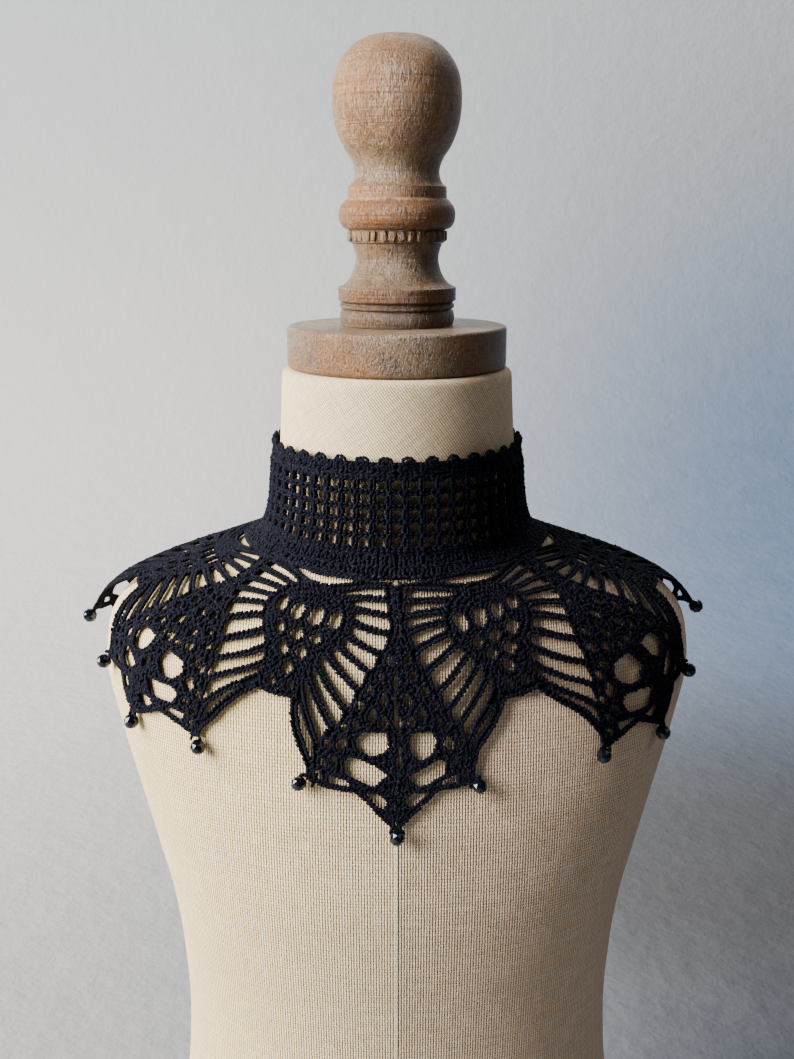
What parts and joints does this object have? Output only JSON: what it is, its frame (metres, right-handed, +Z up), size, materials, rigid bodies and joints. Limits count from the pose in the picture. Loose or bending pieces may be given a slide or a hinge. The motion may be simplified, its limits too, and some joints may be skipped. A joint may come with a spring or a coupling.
{
  "type": "crochet choker on a dress form",
  "caption": "Crochet choker with a mesh collar band and a lace bib of leaf points with faceted beads, worn on a limbless linen dress form with a turned wooden top.",
  "frame": {"origin": "middle of the dress form's flat base, on the plane it stands on", "axes": "+Z up; the choker's front faces -Y; +X is on the right for someone looking at the front"},
  "size_m": [0.2674, 0.1786, 0.5893],
  "materials": {
    "linen": "natural linen, plain weave, stretched smooth",
    "wood": "turned wood, weathered, with a thin grey wash",
    "yarn": "twisted cotton crochet yarn, near-black navy, matt",
    "bead": "faceted opaque black glass",
    "button": "glossy black, domed"
  },
  "bodies": {
    "root": {"form_linen": "linen", "neck_disc": "wood", "finial": "wood", "collar_left": "yarn", "collar_right": "yarn", "bib_left": "yarn", "bib_right": "yarn", "bead_front_left": "bead", "bead_front_middle": "bead", "bead_front_right": "bead", "bead_left_1_left": "bead", "bead_left_1_middle": "bead", "bead_left_1_right": "bead", "bead_left_2_left": "bead", "bead_left_2_middle": "bead", "bead_left_2_right": "bead", "bead_left_3_left": "bead", "bead_left_3_middle": "bead", "bead_left_3_right": "bead", "bead_right_1_left": "bead", "bead_right_1_middle": "bead", "bead_right_1_right": "bead", "bead_right_2_left": "bead", "bead_right_2_middle": "bead", "bead_right_2_right": "bead", "bead_right_3_left": "bead", "bead_right_3_middle": "bead", "bead_right_3_right": "bead", "button_1": "button", "button_2": "button", "button_3": "button", "button_loop_1": "yarn", "button_loop_2": "yarn", "button_loop_3": "yarn"}
  },
  "joints": []
}
